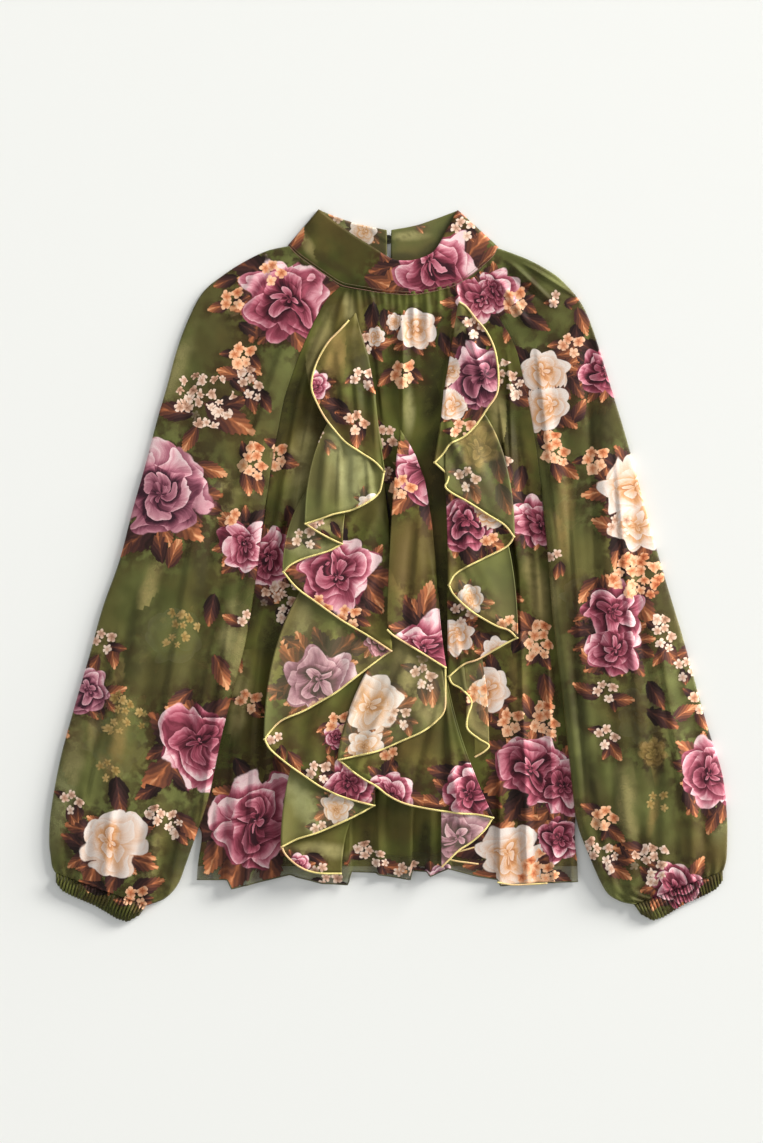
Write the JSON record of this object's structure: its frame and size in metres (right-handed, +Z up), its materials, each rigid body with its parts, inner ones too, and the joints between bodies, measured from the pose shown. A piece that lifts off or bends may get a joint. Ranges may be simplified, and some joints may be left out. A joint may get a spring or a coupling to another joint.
{
  "type": "blouse",
  "caption": "Floral blouse laid flat, face up, with long raglan sleeves, elastic cuffs, a stand collar and ruffles cascading down the front.",
  "frame": {"origin": "centre of the box round the garment, in plan, on the surface it lies on", "axes": "+X towards the picture's right, +Y from the hem towards the collar, +Z up off the surface, out of the front of the blouse"},
  "size_m": [0.677, 0.7111, 0.0218],
  "materials": {
    "printed_cloth": "light woven cloth with a floral print on olive green",
    "sheer_cloth": "the same printed cloth, unlined and slightly sheer",
    "lining_cloth": "plain smooth lining",
    "shell": "small glossy button",
    "thread": "twisted thread"
  },
  "bodies": {
    "root": {"back_panel": "printed_cloth", "lining": "lining_cloth", "front_panel": "printed_cloth", "sleeve_left": "sheer_cloth", "sleeve_right": "sheer_cloth", "cuff_left": "sheer_cloth", "cuff_right": "sheer_cloth", "collar": "printed_cloth", "ruffle_left": "printed_cloth", "ruffle_centre": "printed_cloth", "ruffle_right": "printed_cloth", "button": "shell", "button_loop": "thread"}
  },
  "joints": []
}
